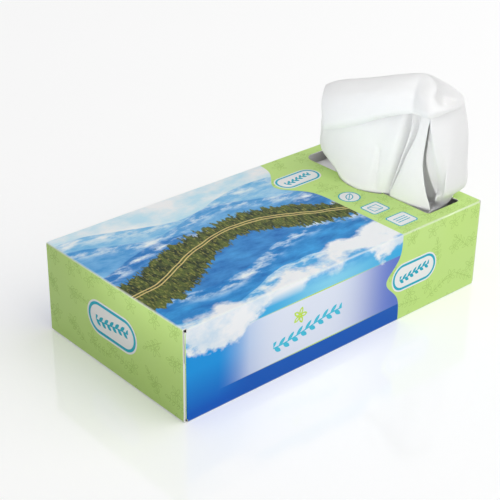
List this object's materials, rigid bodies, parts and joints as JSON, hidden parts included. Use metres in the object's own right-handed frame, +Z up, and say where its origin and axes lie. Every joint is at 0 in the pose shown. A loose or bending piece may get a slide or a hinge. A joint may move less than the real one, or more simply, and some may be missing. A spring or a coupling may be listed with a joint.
{
  "type": "tissue box",
  "caption": "Flat printed board carton of folded paper tissues, with a thumb-notched slot at one end of its top and the top tissue pulled up out of it.",
  "frame": {"origin": "middle of the carton's base", "axes": "+X along the carton's length towards the slot, +Y across its width to the rear, +Z up"},
  "size_m": [0.214, 0.115, 0.1278],
  "materials": {
    "printed_board": "white-lined folding board, printed in green and blue with a satin varnish",
    "tissue_paper": "soft matt creped tissue, three plies"
  },
  "bodies": {
    "root": {"carton": "printed_board", "tissue_stack": "tissue_paper", "pulled_tissue": "tissue_paper"}
  },
  "joints": []
}
